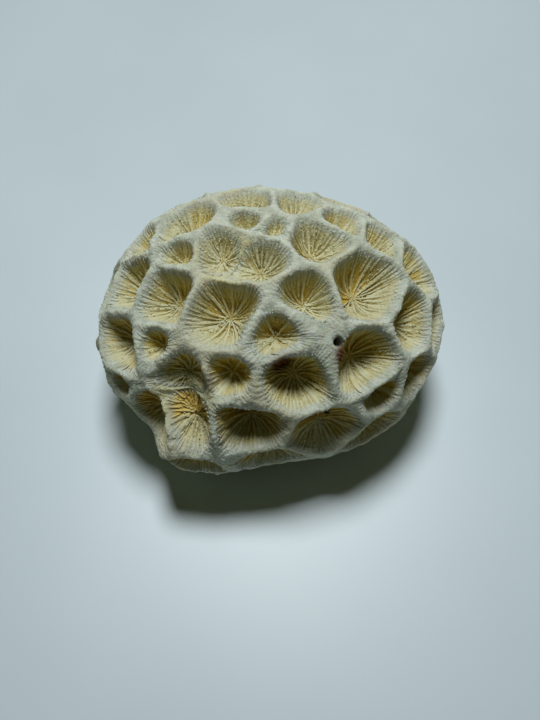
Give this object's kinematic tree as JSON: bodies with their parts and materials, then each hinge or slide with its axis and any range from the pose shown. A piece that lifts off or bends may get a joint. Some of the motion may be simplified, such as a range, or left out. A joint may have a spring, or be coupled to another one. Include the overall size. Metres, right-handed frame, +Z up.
{
  "type": "fossil coral head",
  "caption": "Rounded fossil stony coral head: a dome of deep ribbed calices sharing thick pale walls, cut flat underneath to rest on a table.",
  "frame": {"origin": "centre of the flat cut underneath the coral head, which it rests on", "axes": "+Z up out of the crown of the dome, +X along the head's longest side, -Y towards the side that was nearest the viewer"},
  "size_m": [0.0705, 0.0608, 0.0422],
  "materials": {
    "coral": "matte, granular and porous, pale cream walls over ochre bowls"
  },
  "bodies": {
    "root": {"coral_head": "coral"}
  },
  "joints": []
}
